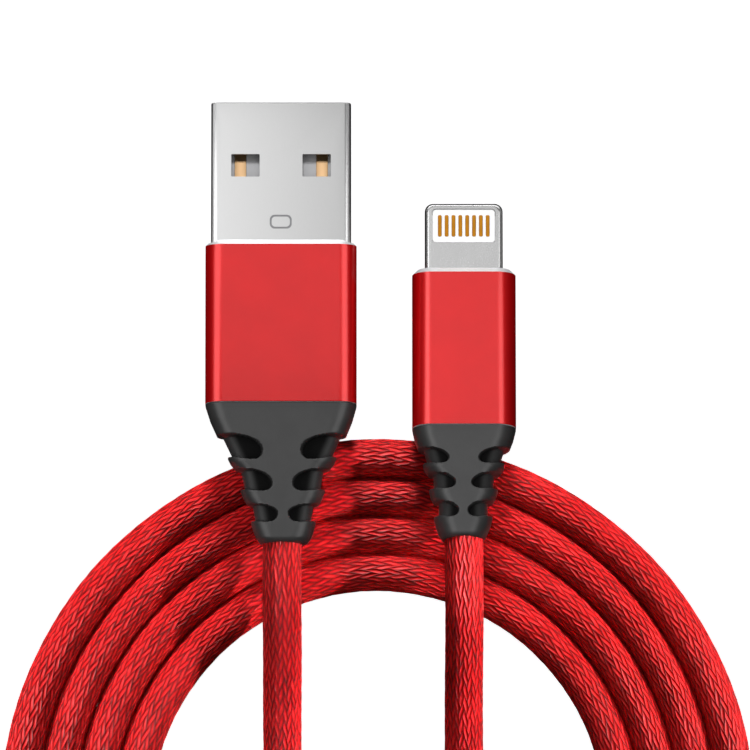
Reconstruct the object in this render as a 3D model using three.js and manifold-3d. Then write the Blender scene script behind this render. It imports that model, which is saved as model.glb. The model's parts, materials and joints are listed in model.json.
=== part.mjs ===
// A 1 m charging cable: a USB-A plug and a small eight-contact reversible phone plug on a braided cord.
// The cord is wound in one flat oblong coil of four turns that lies on the table. Each plug's strain
// relief lies on the front of the coil, so its nose slopes down to the table.
//
// Millimetres, +Z up from the table. +Y is the way the plugs point, +X runs from the USB plug to the
// phone plug. The origin is under the middle of the box that holds the two plugs.
// Each plug is made in its own frame: origin in the middle of the housing's rear end, +Y to the nose.

import * as THREE from 'three';
import { mergeVertices } from 'three/addons/utils/BufferGeometryUtils.js';
import Module from 'manifold-3d';

const wasm = await Module();
wasm.setup();

// ---------- driving dimensions ----------

// Cord and coil
const cordDiameter = 3.3;
const turnPitch = 3.25;
const turnCount = 4;
const innerTurnRadius = 21.1;
const coilStraight = 18.5;
const coilMiddleX = 1.44;
const coilFrontEdge = -9.7;
const cordSides = 8;

// Gaps between pieces
const fitGap = 0.15;
const faceGap = 0.3;
const contactGap = 0.05;

// USB plug
const usb = {
  x: -6.83,
  tilt: 7.5,
  shellWidth: 12.0,
  shellHeight: 4.5,
  shellWall: 0.3,
  shellCorner: 0.6,
  shellExposed: 11.93,
  shellBuried: 5.4,
  housingLength: 13.57,
  housingSideWall: 0.325,
  housingFlatWall: 0.6,
  housingCorner: 1.7,
  chamferLength: 0.43,
  chamferInset: 0.5,
  windowWidth: 2.43,
  windowLength: 1.95,
  windowSpread: 3.05,
  windowSetback: 4.49,
  tongueWidth: 11.0,
  tongueHeight: 1.8,
  tongueSetback: 0.6,
  contactWidth: 1.0,
  contactHeight: 0.25,
  contacts: [
    { name: 'power', x: 3.5, setback: 1.2 },
    { name: 'data_minus', x: 1.0, setback: 2.2 },
    { name: 'data_plus', x: -1.0, setback: 2.2 },
    { name: 'ground', x: -3.5, setback: 1.2 },
  ],
  mouldLength: 7.5,
};

// Phone plug
const phone = {
  x: 8.85,
  y: -8.87,
  tilt: 13,
  tabWidth: 6.7,
  tabHeight: 1.5,
  tabCorner: 0.7,
  tabExposed: 6.05,
  tabBuried: 3.6,
  tabWall: 0.3,
  housingLength: 13.37,
  housingWidth: 8.89,
  housingHeight: 5.0,
  housingWall: 0.48,
  housingCorner: 1.7,
  chamferLength: 0.43,
  chamferInset: 0.45,
  insulatorWidth: 5.44,
  insulatorLength: 3.0,
  insulatorSetback: 0.52,
  insulatorHeight: 1.2,
  contactCount: 8,
  contactPitch: 0.588,
  contactWidth: 0.32,
  contactLength: 1.9,
  contactHeight: 0.08,
  boardWidth: 4.8,
  boardHeight: 0.4,
  boardRear: 6.2,
  chip: { width: 2.4, length: 2.2, height: 0.7 },
};

// The USB shell sets the bore and the outside of its housing. The phone plug's bore follows its housing.
const usbBore = {
  width: usb.shellWidth + 2 * fitGap,
  height: usb.shellHeight + 2 * fitGap,
  corner: usb.shellCorner + fitGap,
};
usb.housingWidth = usbBore.width + 2 * usb.housingSideWall;
usb.housingHeight = usbBore.height + 2 * usb.housingFlatWall;
const phoneBore = {
  width: phone.housingWidth - 2 * phone.housingWall,
  height: phone.housingHeight - 2 * phone.housingWall,
  corner: phone.housingCorner - phone.housingWall,
};

// Wires and the inner cable that holds them
const wireDiameter = 0.6;
const wireClearance = 0.12;
const wireProud = 0.1;
const wireSpacing = wireDiameter + 2 * wireClearance + 0.16;
const jacketWall = 0.2;
const innerCableDiameter = Math.SQRT2 * wireSpacing + wireDiameter + 2 * jacketWall;

// Strain reliefs: each rib runs from one distance behind the housing to the next as the body tapers
// from the housing's section to the core around the inner cable.
const reliefInset = 0.25;
const reliefCore = innerCableDiameter / 2 + fitGap + 0.39;
const usbRelief = {
  length: 12.0,
  frontHeight: usb.housingHeight - 2 * reliefInset,
  tailHeight: cordDiameter + 0.6,
  ribs: [
    { start: 0.0, end: 2.66, startHalf: usb.housingWidth / 2, endHalf: 5.45 },
    { start: 4.58, end: 5.85, startHalf: 4.54, endHalf: 3.5 },
    { start: 7.37, end: 8.78, startHalf: 3.5, endHalf: 2.6 },
    { start: 10.1, end: 12.0, startHalf: 2.6, endHalf: reliefCore },
  ],
};
const phoneRelief = {
  length: 9.73,
  frontHeight: phone.housingHeight - 2 * reliefInset,
  tailHeight: cordDiameter + 0.4,
  ribs: [
    { start: 0.0, end: 1.9, startHalf: phone.housingWidth / 2, endHalf: 3.9 },
    { start: 3.2, end: 4.1, startHalf: 3.4, endHalf: 2.8 },
    { start: 5.4, end: 6.6, startHalf: 2.9, endHalf: 2.3 },
    { start: 7.7, end: 9.73, startHalf: 2.3, endHalf: reliefCore },
  ],
};

// Route of the cord's loose stretches, from each strain relief to the coil
const usbRoute = [
  [-6.83, -19.4, 7.3],
  [-6.83, -21.8, 7.5],
  [-6.83, -24.5, 7.15],
  [-6.83, -28, 5.9],
  [-6.83, -32, 4.1],
  [-6.83, -36, 2.6],
  [-6.83, -40, 1.85],
  [-6.83, -46, 1.7],
  [-6.83, -53, 1.7],
  [-6.83, -60, 1.7],
  [-6.83, -66.7, 1.7],
  [-6.2, -70.7, 1.7],
  [-4.2, -74.3, 1.7],
  [-1.2, -76.9, 1.7],
  [1.07, -78, 1.7],
];
const phoneRoute = [
  [8.85, -19.05, 7.8],
  [8.85, -21.3, 8.15],
  [8.85, -24.5, 7.8],
  [8.85, -28, 6.4],
  [8.85, -32, 4.4],
  [8.85, -36, 2.7],
  [8.85, -40, 1.85],
  [8.85, -46, 1.7],
  [8.85, -54, 1.7],
  [8.85, -62, 1.7],
  [8.85, -66.5, 1.95],
  [8.85, -69.5, 2.8],
  [8.85, -72.5, 4],
  [8.85, -75.5, 5],
  [8.85, -79, 5.3],
  [7.85, -84, 5.3],
  [5.46, -87.5, 5.3],
  [2.04, -89.9, 5.3],
  [0.1, -90.6, 5.3],
];

// ---------- solids ----------

const tidyShape = (geometry) => {
  const plain = geometry.clone();
  plain.deleteAttribute('normal');
  plain.deleteAttribute('uv');
  return mergeVertices(plain.index ? plain.toNonIndexed() : plain, 1e-4);
};

const toSolid = (geometry) => {
  const merged = tidyShape(geometry);
  return new wasm.Manifold(new wasm.Mesh({
    numProp: 3,
    vertProperties: new Float32Array(merged.attributes.position.array),
    triVerts: new Uint32Array(merged.index.array),
  }));
};

const toGeometry = (solid) => {
  const { vertProperties, triVerts } = solid.getMesh();
  const geometry = new THREE.BufferGeometry();
  geometry.setAttribute('position', new THREE.BufferAttribute(vertProperties, 3));
  geometry.setIndex(new THREE.BufferAttribute(triVerts, 1));
  return geometry;
};

const cut = (geometry, ...tools) =>
  toGeometry(tools.reduce((body, tool) => body.subtract(toSolid(tool)), toSolid(geometry)));

const join = (...geometries) =>
  toGeometry(geometries.map(toSolid).reduce((body, other) => body.add(other)));

const overlapOf = (...geometries) =>
  toGeometry(geometries.map(toSolid).reduce((body, other) => body.intersect(other)));

const box = (width, length, height, x = 0, y = 0, z = 0) =>
  new THREE.BoxGeometry(width, length, height).translate(x, y, z);

// A box between two Y stations
const block = (width, height, rear, front, x = 0, z = 0) =>
  box(width, front - rear, height, x, (front + rear) / 2, z);

const roundedRectangle = (width, height, corner) => {
  const right = width / 2;
  const top = height / 2;
  const shape = new THREE.Shape();
  shape.absarc(right - corner, top - corner, corner, 0, Math.PI / 2);
  shape.absarc(corner - right, top - corner, corner, Math.PI / 2, Math.PI);
  shape.absarc(corner - right, corner - top, corner, Math.PI, 1.5 * Math.PI);
  shape.absarc(right - corner, corner - top, corner, 1.5 * Math.PI, 2 * Math.PI);
  shape.closePath();
  return shape;
};

// A section drawn in X and Z, extruded from one Y station to another
const alongY = (shape, rear, front, options = {}) =>
  new THREE.ExtrudeGeometry(shape, { depth: front - rear, bevelEnabled: false, curveSegments: 5, ...options })
    .rotateX(Math.PI / 2)
    .translate(0, front, 0);

const bar = (width, height, corner, rear, front) =>
  alongY(roundedRectangle(width, height, corner), rear, front);

const tube = (curve, diameter, sides, steps) => {
  const section = new THREE.Shape();
  for (let side = 0; side < sides; side += 1) {
    const angle = (2 * Math.PI * side) / sides;
    const point = [(diameter / 2) * Math.cos(angle), (diameter / 2) * Math.sin(angle)];
    if (side === 0) section.moveTo(...point);
    else section.lineTo(...point);
  }
  section.closePath();
  return new THREE.ExtrudeGeometry(section, { steps, bevelEnabled: false, extrudePath: curve });
};

// ---------- materials ----------

const paint = (color, roughness, metalness) => new THREE.MeshStandardMaterial({ color, roughness, metalness });
const plating = paint(0xc9c9c9, 0.35, 1);
const gold = paint(0xd69a3a, 0.3, 1);
const greyPlastic = paint(0x8d8f92, 0.6, 0);
const whitePlastic = paint(0xe8e8e4, 0.5, 0);
const mouldPlastic = paint(0xd8d5cc, 0.7, 0);
const redAluminium = paint(0xd93438, 0.35, 0.6);
const blackRelief = paint(0x3a3a3c, 0.55, 0);
const innerJacket = paint(0x222224, 0.7, 0);
const boardGreen = paint(0x1f5b3a, 0.5, 0);
const chipBlack = paint(0x18181a, 0.5, 0);
const redBraid = paint(0xd8202c, 0.8, 0);
const wirePaint = {
  power: paint(0xc22626, 0.5, 0),
  data_minus: paint(0xe6e6e6, 0.5, 0),
  data_plus: paint(0x2f8f4a, 0.5, 0),
  ground: paint(0x1c1c1c, 0.5, 0),
};

const piece = (name, geometry, material) => {
  const mesh = new THREE.Mesh(geometry, material);
  mesh.name = name;
  return mesh;
};

// ---------- shared sub-parts ----------

// Anodised sleeve with a chamfered front edge, open at both ends
const housing = (plug, bore) => {
  const front = plug.housingLength + plug.chamferLength;
  const body = bar(plug.housingWidth, plug.housingHeight, plug.housingCorner, 0, plug.housingLength);
  const section = roundedRectangle(
    plug.housingWidth - 2 * plug.chamferInset,
    plug.housingHeight - 2 * plug.chamferInset,
    plug.housingCorner - plug.chamferInset,
  );
  const nose = alongY(section, 1, front - plug.chamferLength, {
    bevelEnabled: true,
    bevelThickness: plug.chamferLength,
    bevelSize: plug.chamferInset,
    bevelSegments: 1,
  });
  return cut(join(body, nose), bar(bore.width, bore.height, bore.corner, -1, front + 1));
};

const mouldSection = (bore) =>
  roundedRectangle(bore.width - 2 * fitGap, bore.height - 2 * fitGap, bore.corner - fitGap);

// Ribbed sleeve that tapers from the housing's section to the cord, bored for the inner cable
const strainRelief = (relief) => {
  const outline = new THREE.Shape();
  const steps = relief.ribs.flatMap((rib, index) => {
    const next = relief.ribs[index + 1];
    const points = [[rib.startHalf, -rib.start], [rib.endHalf, -rib.end]];
    if (next) points.push([reliefCore, -rib.end], [reliefCore, -next.start]);
    return points;
  });
  outline.setFromPoints([
    ...steps.map(([half, y]) => new THREE.Vector2(half, y)),
    ...steps.toReversed().map(([half, y]) => new THREE.Vector2(-half, y)),
  ]);
  const plan = new THREE.ExtrudeGeometry(outline, { depth: relief.frontHeight, bevelEnabled: false })
    .translate(0, 0, -relief.frontHeight / 2);
  const side = new THREE.Shape([
    new THREE.Vector2(0, relief.frontHeight / 2),
    new THREE.Vector2(-relief.length, relief.tailHeight / 2),
    new THREE.Vector2(-relief.length, -relief.tailHeight / 2),
    new THREE.Vector2(0, -relief.frontHeight / 2),
  ]);
  const widest = 2 * relief.ribs[0].startHalf + 2;
  const profile = new THREE.ExtrudeGeometry(side, { depth: widest, bevelEnabled: false })
    .rotateY(Math.PI / 2)
    .rotateX(Math.PI / 2)
    .translate(-widest / 2, 0, 0);
  const bore = new THREE.CylinderGeometry(
    innerCableDiameter / 2 + fitGap, innerCableDiameter / 2 + fitGap, 4 * relief.length, 12,
  );
  return cut(overlapOf(plan, profile), bore).translate(0, -faceGap, 0);
};

// The jacketed inner cable, from the braid's end at the relief's tail to the plug's mould
const innerCable = (relief, front) => {
  const rear = -relief.length;
  return new THREE.CylinderGeometry(innerCableDiameter / 2, innerCableDiameter / 2, front - rear, 10)
    .translate(0, (front + rear) / 2, 0);
};

// One insulated wire from its solder joint back to the inner cable
const wireCurve = (from, rear, level) => {
  const offset = wireSpacing / 2;
  const end = new THREE.Vector3(Math.sign(from.x) * offset, rear, level * offset);
  const bend = (from.y - rear) / 2;
  return new THREE.CubicBezierCurve3(
    from,
    new THREE.Vector3(from.x, from.y - bend, from.z),
    new THREE.Vector3(end.x, end.y + bend, end.z),
    end,
  );
};

const wireLevel = { power: 1, ground: 1, data_minus: -1, data_plus: -1 };
const wires = (prefix, starts, rear) => starts.map(({ name, at }) => {
  const curve = wireCurve(at, rear, wireLevel[name]);
  return {
    mesh: piece(`${prefix}_wire_${name}`, tube(curve, wireDiameter, 6, 6), wirePaint[name]),
    channel: tube(curve, wireDiameter + 2 * wireClearance, 8, 6),
  };
});

// ---------- USB plug ----------

const usbShellRear = usb.housingLength + usb.chamferLength - usb.shellBuried;
const usbNose = usb.housingLength + usb.chamferLength + usb.shellExposed;

const usbShell = () => {
  const wall = 2 * usb.shellWall;
  const outer = bar(usb.shellWidth, usb.shellHeight, usb.shellCorner, usbShellRear, usbNose);
  const mouth = bar(
    usb.shellWidth - wall, usb.shellHeight - wall, usb.shellCorner - usb.shellWall,
    usbShellRear - 1, usbNose + 1,
  );
  const windowFront = usbNose - usb.windowSetback;
  const windows = [-1, 1].map((side) => block(
    usb.windowWidth, 2 * usb.shellHeight, windowFront - usb.windowLength, windowFront, side * usb.windowSpread,
  ));
  return cut(outer, mouth, ...windows);
};

const usbPlug = () => {
  const floor = usb.shellWall + contactGap - usb.shellHeight / 2;
  const tongueTop = floor + usb.tongueHeight;
  const tongueRear = usbShellRear + 0.2;
  const contactLevel = tongueTop + contactGap + usb.contactHeight / 2;
  const contactRear = usbShellRear - 0.1;
  const mouldFront = usbShellRear - faceGap;
  const mouldRear = mouldFront - usb.mouldLength;
  const starts = usb.contacts.map(({ name, x }) => ({
    name,
    at: new THREE.Vector3(x, mouldFront, contactLevel),
  }));
  const leads = wires('usb', starts, mouldRear);
  const mould = alongY(mouldSection(usbBore), mouldRear + wireProud, mouldFront - wireProud);
  const contacts = usb.contacts.map(({ name, x, setback }) => piece(
    `usb_contact_${name}`,
    block(usb.contactWidth, usb.contactHeight, contactRear, usbNose - setback, x, contactLevel),
    gold,
  ));
  return [
    piece('usb_shell', usbShell(), plating),
    piece('usb_contact_tongue', block(
      usb.tongueWidth, usb.tongueHeight, tongueRear, usbNose - usb.tongueSetback, 0,
      floor + usb.tongueHeight / 2,
    ), greyPlastic),
    ...contacts,
    piece('usb_inner_mould', cut(mould, ...leads.map((lead) => lead.channel)), mouldPlastic),
    ...leads.map((lead) => lead.mesh),
    piece('usb_housing', housing(usb, usbBore), redAluminium),
    piece('usb_strain_relief', strainRelief(usbRelief), blackRelief),
    piece('usb_inner_cable', innerCable(usbRelief, mouldRear - faceGap), innerJacket),
  ];
};

// ---------- phone plug ----------

const phoneFront = phone.housingLength + phone.chamferLength;
const phoneNose = phoneFront + phone.tabExposed;
const tabRear = phoneFront - phone.tabBuried;
const insulatorFront = phoneNose - phone.insulatorSetback;
const insulatorRear = insulatorFront - phone.insulatorLength;
const boardFront = insulatorRear - faceGap;

const phoneTab = () => {
  const half = phone.tabWidth / 2;
  const outline = new THREE.Shape();
  outline.moveTo(-half, tabRear);
  outline.lineTo(half, tabRear);
  outline.absarc(half - phone.tabCorner, phoneNose - phone.tabCorner, phone.tabCorner, 0, Math.PI / 2);
  outline.absarc(phone.tabCorner - half, phoneNose - phone.tabCorner, phone.tabCorner, Math.PI / 2, Math.PI);
  outline.closePath();
  const plate = new THREE.ExtrudeGeometry(outline, {
    depth: phone.tabHeight, bevelEnabled: false, curveSegments: 5,
  }).translate(0, 0, -phone.tabHeight / 2);
  const window = block(phone.insulatorWidth, 2 * phone.tabHeight, insulatorRear, insulatorFront);
  const slot = block(
    phone.boardWidth + 2 * fitGap, phone.tabHeight - 2 * phone.tabWall, tabRear - 1, insulatorRear + 0.2,
  );
  return cut(plate, window, slot);
};

const phoneContacts = () => {
  const middle = (insulatorFront + insulatorRear) / 2;
  const level = phone.insulatorHeight / 2 + contactGap + phone.contactHeight / 2;
  const sides = [{ name: 'top', sign: 1 }, { name: 'bottom', sign: -1 }];
  return sides.flatMap(({ name, sign }) => Array.from({ length: phone.contactCount }, (_, index) => {
    const x = (index - (phone.contactCount - 1) / 2) * phone.contactPitch;
    const pad = box(phone.contactWidth, phone.contactLength, phone.contactHeight, x, middle, sign * level);
    return piece(`phone_contact_${name}_${index + 1}`, pad, gold);
  }));
};

const phonePlug = () => {
  const mouldRear = 0.8;
  const chipRear = phone.boardRear + 0.8;
  const chipLevel = phone.boardHeight / 2 + contactGap + phone.chip.height / 2;
  const wireX = { power: 1.9, data_minus: 0.65, data_plus: -0.65, ground: -1.9 };
  const starts = Object.entries(wireX).map(([name, x]) => ({
    name,
    at: new THREE.Vector3(x, phone.boardRear - faceGap, 0),
  }));
  const leads = wires('phone', starts, mouldRear);
  const board = [phone.boardRear, boardFront];
  const clear = 2 * fitGap;
  const mould = cut(
    alongY(mouldSection(phoneBore), mouldRear + wireProud, phoneFront - fitGap),
    block(phone.tabWidth + clear, phone.tabHeight + clear, tabRear - fitGap, phoneFront + 1),
    block(
      phone.boardWidth + clear, phone.boardHeight + clear,
      phone.boardRear - faceGap - wireProud, tabRear + 1,
    ),
    block(
      phone.chip.width + clear, phone.chip.height + clear + phone.boardHeight / 2,
      chipRear - fitGap, chipRear + phone.chip.length + fitGap, 0, chipLevel,
    ),
    ...leads.map((lead) => lead.channel),
  );
  return [
    piece('phone_tab', phoneTab(), plating),
    piece('phone_insulator', block(
      phone.insulatorWidth - clear, phone.insulatorHeight, insulatorRear + fitGap, insulatorFront - fitGap,
    ), whitePlastic),
    ...phoneContacts(),
    piece('phone_circuit_board', block(phone.boardWidth, phone.boardHeight, ...board), boardGreen),
    piece('phone_control_chip', block(
      phone.chip.width, phone.chip.height, chipRear, chipRear + phone.chip.length, 0, chipLevel,
    ), chipBlack),
    piece('phone_inner_mould', mould, mouldPlastic),
    ...leads.map((lead) => lead.mesh),
    piece('phone_housing', housing(phone, phoneBore), redAluminium),
    piece('phone_strain_relief', strainRelief(phoneRelief), blackRelief),
    piece('phone_inner_cable', innerCable(phoneRelief, mouldRear - faceGap), innerJacket),
  ];
};

// ---------- cord ----------

const coilInner = innerTurnRadius - cordDiameter / 2;
const coilOuter = innerTurnRadius + (turnCount - 1) * turnPitch + cordDiameter / 2;
const coilMiddleY = coilFrontEdge - coilOuter;

const stadium = (path, radius) => {
  path.absarc(coilMiddleX, coilMiddleY, radius, 0, Math.PI);
  path.absarc(coilMiddleX, coilMiddleY - coilStraight, radius, Math.PI, 2 * Math.PI);
  path.closePath();
  return path;
};

const cordCoil = () => {
  const outer = stadium(new THREE.Shape(), coilOuter);
  outer.holes.push(stadium(new THREE.Path(), coilInner));
  return new THREE.ExtrudeGeometry(outer, { depth: cordDiameter, bevelEnabled: false, curveSegments: 16 });
};

const looseCord = (route) => {
  const curve = new THREE.CatmullRomCurve3(route.map((point) => new THREE.Vector3(...point)));
  const steps = Math.round(curve.getLength() / (1.8 * cordDiameter));
  return tube(curve, cordDiameter, cordSides, steps);
};

// ---------- assembly ----------

const degrees = Math.PI / 180;

// A plug turned nose down about X, with its lowest front corner on the table
const placed = (plug, meshes, lowest, middle) => {
  const group = new THREE.Group();
  const angle = plug.tilt * degrees;
  group.rotation.x = -angle;
  const height = lowest.y * Math.sin(angle) - lowest.z * Math.cos(angle);
  group.position.set(plug.x, middle, height);
  group.add(...meshes);
  return group;
};

// The USB plug is the longer one, so its middle sets the origin
const usbMiddle = () => {
  const angle = usb.tilt * degrees;
  const tailLength = usbRelief.length + faceGap;
  const nose = usbNose * Math.cos(angle) + (usb.shellHeight / 2) * Math.sin(angle);
  const tail = tailLength * Math.cos(angle) + (usbRelief.tailHeight / 2) * Math.sin(angle);
  return (tail - nose) / 2;
};

const group = new THREE.Group();
group.add(placed(usb, usbPlug(), { y: usbNose, z: -usb.shellHeight / 2 }, usbMiddle()));
group.add(placed(phone, phonePlug(), { y: phone.housingLength, z: -phone.housingHeight / 2 }, phone.y));
group.add(
  piece('cord_coil', cordCoil(), redBraid),
  piece('usb_cord_tail', looseCord(usbRoute), redBraid),
  piece('phone_cord_tail', looseCord(phoneRoute), redBraid),
);

export default group;
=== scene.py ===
import json
import math

import bmesh
import bpy
import numpy as np
from mathutils import Matrix, Vector


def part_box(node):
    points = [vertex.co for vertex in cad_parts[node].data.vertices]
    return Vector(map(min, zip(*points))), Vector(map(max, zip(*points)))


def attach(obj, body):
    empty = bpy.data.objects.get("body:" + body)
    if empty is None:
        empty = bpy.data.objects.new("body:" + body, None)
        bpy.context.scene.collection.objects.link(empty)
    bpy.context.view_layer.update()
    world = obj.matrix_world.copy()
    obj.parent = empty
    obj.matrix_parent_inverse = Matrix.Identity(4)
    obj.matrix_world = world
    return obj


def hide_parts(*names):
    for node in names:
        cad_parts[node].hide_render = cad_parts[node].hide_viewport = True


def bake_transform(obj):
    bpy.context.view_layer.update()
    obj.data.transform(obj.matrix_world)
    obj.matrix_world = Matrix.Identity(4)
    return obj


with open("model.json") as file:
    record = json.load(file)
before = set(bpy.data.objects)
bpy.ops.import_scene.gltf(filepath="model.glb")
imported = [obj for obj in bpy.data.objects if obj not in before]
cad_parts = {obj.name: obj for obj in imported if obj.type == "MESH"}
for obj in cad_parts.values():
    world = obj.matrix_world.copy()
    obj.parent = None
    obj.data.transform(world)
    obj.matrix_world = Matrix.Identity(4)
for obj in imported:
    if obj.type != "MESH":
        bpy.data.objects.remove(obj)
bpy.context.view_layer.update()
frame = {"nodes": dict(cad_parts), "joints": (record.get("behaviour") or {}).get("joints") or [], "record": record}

MM = 0.001
TAU = 2 * math.pi

# ---------- camera ----------

VIEW_WIDTH = 64.27 * MM
VIEW_MIDDLE = (1.22 * MM, -4.16 * MM)
CAMERA_HEIGHT = 0.9
SENSOR = 36.0

camera = bpy.data.objects.new("camera", bpy.data.cameras.new("camera"))
camera.data.sensor_width = SENSOR
camera.data.lens = SENSOR * (CAMERA_HEIGHT - 0.005) / VIEW_WIDTH
camera.data.clip_start = 0.01
camera.data.clip_end = 20.0
camera.location = (*VIEW_MIDDLE, CAMERA_HEIGHT)
bpy.context.scene.collection.objects.link(camera)
bpy.context.scene.camera = camera

# ---------- plug frames ----------


def plug_frame(joint_name, mount_name, hinge_behind):
    """The plug's own frame: its hinge lies hinge_behind mm behind the housing, its tilt is its mount's."""
    joint = next(j for j in frame["joints"] if j["name"] == joint_name)
    mount = next(m for m in frame["record"]["mounts"] if m["name"] == mount_name)
    tilt = math.atan2(mount["axis"][1], mount["axis"][2])
    turn = Matrix.Rotation(-tilt, 4, "X")
    origin = Vector(joint["pos_m"]) - turn @ Vector((0, -hinge_behind * MM, 0))
    return Matrix.Translation(origin) @ turn


usb_place = plug_frame("usb_plug_flex", "usb_housing_top", 6.3)
phone_place = plug_frame("phone_plug_flex", "phone_housing_top", 5.2)


def extent(name, place):
    """Low and high corners of a CAD node in its plug's own frame, to the hundredth of a millimetre."""
    node = frame["nodes"][name]
    to_plug = place.inverted() @ node.matrix_world
    corners = np.array([to_plug @ vertex.co for vertex in node.data.vertices]) / MM
    return np.round(corners.min(axis=0), 2), np.round(corners.max(axis=0), 2)


# ---------- mesh helpers ----------


def make_object(name, vertices, faces, materials, place, marks=None, smooth_angle=30):
    """A mesh object from vertices in millimetres in the frame place. marks pick each face's material."""
    mesh = bpy.data.meshes.new(name)
    mesh.from_pydata([tuple(v) for v in vertices], [], [tuple(f) for f in faces])
    for material in materials:
        mesh.materials.append(material)
    if marks is not None:
        mesh.polygons.foreach_set("material_index", marks)
    mesh.transform(place @ Matrix.Scale(MM, 4))
    mesh.update()
    thing = bpy.data.objects.new(name, mesh)
    bpy.context.scene.collection.objects.link(thing)
    finish_normals(thing, smooth_angle)
    return thing


def finish_normals(thing, smooth_angle):
    """Faces point outward, shading is smooth, and edges above smooth_angle stay sharp."""
    shape = bmesh.new()
    shape.from_mesh(thing.data)
    bmesh.ops.recalc_face_normals(shape, faces=shape.faces)
    shape.to_mesh(thing.data)
    shape.free()
    thing.data.polygons.foreach_set("use_smooth", [True] * len(thing.data.polygons))
    thing.data.set_sharp_from_angle(angle=math.radians(smooth_angle))


def rounded_ring(width, height, corner, per_corner=10):
    """Points of a rounded rectangle, anticlockwise from the right side, as an N by 2 array."""
    points = []
    for quarter in range(4):
        sign_x = 1 if quarter in (0, 3) else -1
        sign_y = 1 if quarter in (0, 1) else -1
        for step in range(per_corner + 1):
            angle = (quarter + step / per_corner) * math.pi / 2
            x = sign_x * (width / 2 - corner) + corner * math.cos(angle)
            y = sign_y * (height / 2 - corner) + corner * math.sin(angle)
            points.append((x, y))
    return np.array(points)


def section_at(ring, y):
    """A ring drawn in X and Z, placed at one Y station."""
    return np.column_stack([ring[:, 0], np.full(len(ring), y), ring[:, 1]])


def layer_at(ring, z):
    """A ring drawn in X and Y, placed at one height."""
    return np.column_stack([ring[:, 0], ring[:, 1], np.full(len(ring), z)])


def loft(rings, closed=False):
    """A skin through rings of equal count, capped at both ends. closed joins the last to the first."""
    count = len(rings[0])
    vertices = np.vstack(rings)
    faces = []
    pairs = [(i, i + 1) for i in range(len(rings) - 1)]
    if closed:
        pairs.append((len(rings) - 1, 0))
    for low, high in pairs:
        for k in range(count):
            after = (k + 1) % count
            faces.append((low * count + k, low * count + after, high * count + after, high * count + k))
    if not closed:
        faces.append(tuple(range(count))[::-1])
        faces.append(tuple((len(rings) - 1) * count + k for k in range(count)))
    return vertices, faces


def cut_away(thing, cutters, smooth_angle=30):
    """Cuts closed cutter objects out of thing, then removes them."""
    for cutter in cutters:
        modifier = thing.modifiers.new("cut", "BOOLEAN")
        modifier.operation = "DIFFERENCE"
        modifier.solver = "EXACT"
        modifier.material_mode = "TRANSFER"
        modifier.object = cutter
    bpy.context.view_layer.update()
    graph = bpy.context.evaluated_depsgraph_get()
    result = bpy.data.meshes.new_from_object(thing.evaluated_get(graph))
    thing.modifiers.clear()
    thing.data = result
    for cutter in cutters:
        bpy.data.objects.remove(cutter)
    finish_normals(thing, smooth_angle)


# ---------- material helpers ----------


class Graph:
    """A material's node tree with one Principled shader."""

    def __init__(self, name):
        self.material = bpy.data.materials.new(name)
        self.material.use_nodes = True
        self.tree = self.material.node_tree
        self.shader = self.tree.nodes["Principled BSDF"]

    def put(self, kind, sockets=None, **settings):
        node = self.tree.nodes.new(kind)
        for key, value in settings.items():
            setattr(node, key, value)
        for key, value in (sockets or {}).items():
            self.feed(node.inputs[key], value)
        return node

    def feed(self, socket, value):
        if isinstance(value, bpy.types.NodeSocket):
            self.tree.links.new(value, socket)
        else:
            socket.default_value = value

    def math(self, operation, first, second=0.0, third=0.0):
        node = self.put("ShaderNodeMath", {0: first, 1: second, 2: third}, operation=operation)
        return node.outputs[0]

    def noise(self, vector, scale, detail=3.0):
        sockets = {"Vector": vector, "Scale": scale, "Detail": detail}
        return self.put("ShaderNodeTexNoise", sockets).outputs["Fac"]

    def ramp(self, value, stops):
        """A colour ramp: stops are (position, colour) pairs."""
        node = self.put("ShaderNodeValToRGB", {"Fac": value})
        elements = node.color_ramp.elements
        while len(elements) < len(stops):
            elements.new(0.5)
        for element, (position, colour) in zip(elements, stops):
            element.position = position
            element.color = (*colour, 1.0)
        return node.outputs["Color"]

    def spread(self, value, low, high):
        node = self.put("ShaderNodeMapRange", {"Value": value, "To Min": low, "To Max": high})
        return node.outputs["Result"]

    def coordinates(self):
        return self.put("ShaderNodeTexCoord").outputs["Object"]

    def bump(self, height, depth):
        """depth is the relief's full height in metres."""
        sockets = {"Height": height, "Distance": depth, "Strength": 1.0}
        self.feed(self.shader.inputs["Normal"], self.put("ShaderNodeBump", sockets).outputs["Normal"])

    def set(self, **values):
        for key, value in values.items():
            self.feed(self.shader.inputs[key.replace("_", " ")], value)


def tint(colour, share):
    return tuple(min(1.0, channel * share) for channel in colour)


def grained(name, colour, roughness, grain, depth, metallic=0.0, vary=0.08, stretch=(1, 1, 1), **extra):
    """A surface with fine grain: grain is the grain's size in millimetres, depth its relief in metres."""
    graph = Graph(name)
    scaled = graph.put("ShaderNodeVectorMath", {0: graph.coordinates(), 1: stretch}, operation="MULTIPLY")
    vector = scaled.outputs[0]
    fine = graph.noise(vector, 1 / (grain * MM))
    broad = graph.noise(vector, 1 / (25 * grain * MM), 2.0)
    stops = [(0.3, tint(colour, 1 - vary)), (0.7, tint(colour, 1 + vary))]
    graph.set(Base_Color=graph.ramp(broad, stops), Metallic=metallic)
    graph.set(Roughness=graph.spread(fine, roughness * 0.85, roughness * 1.15))
    graph.set(**extra)
    graph.bump(fine, depth)
    return graph.material


# ---------- materials ----------

RED = (0.66, 0.004, 0.006)


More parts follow.
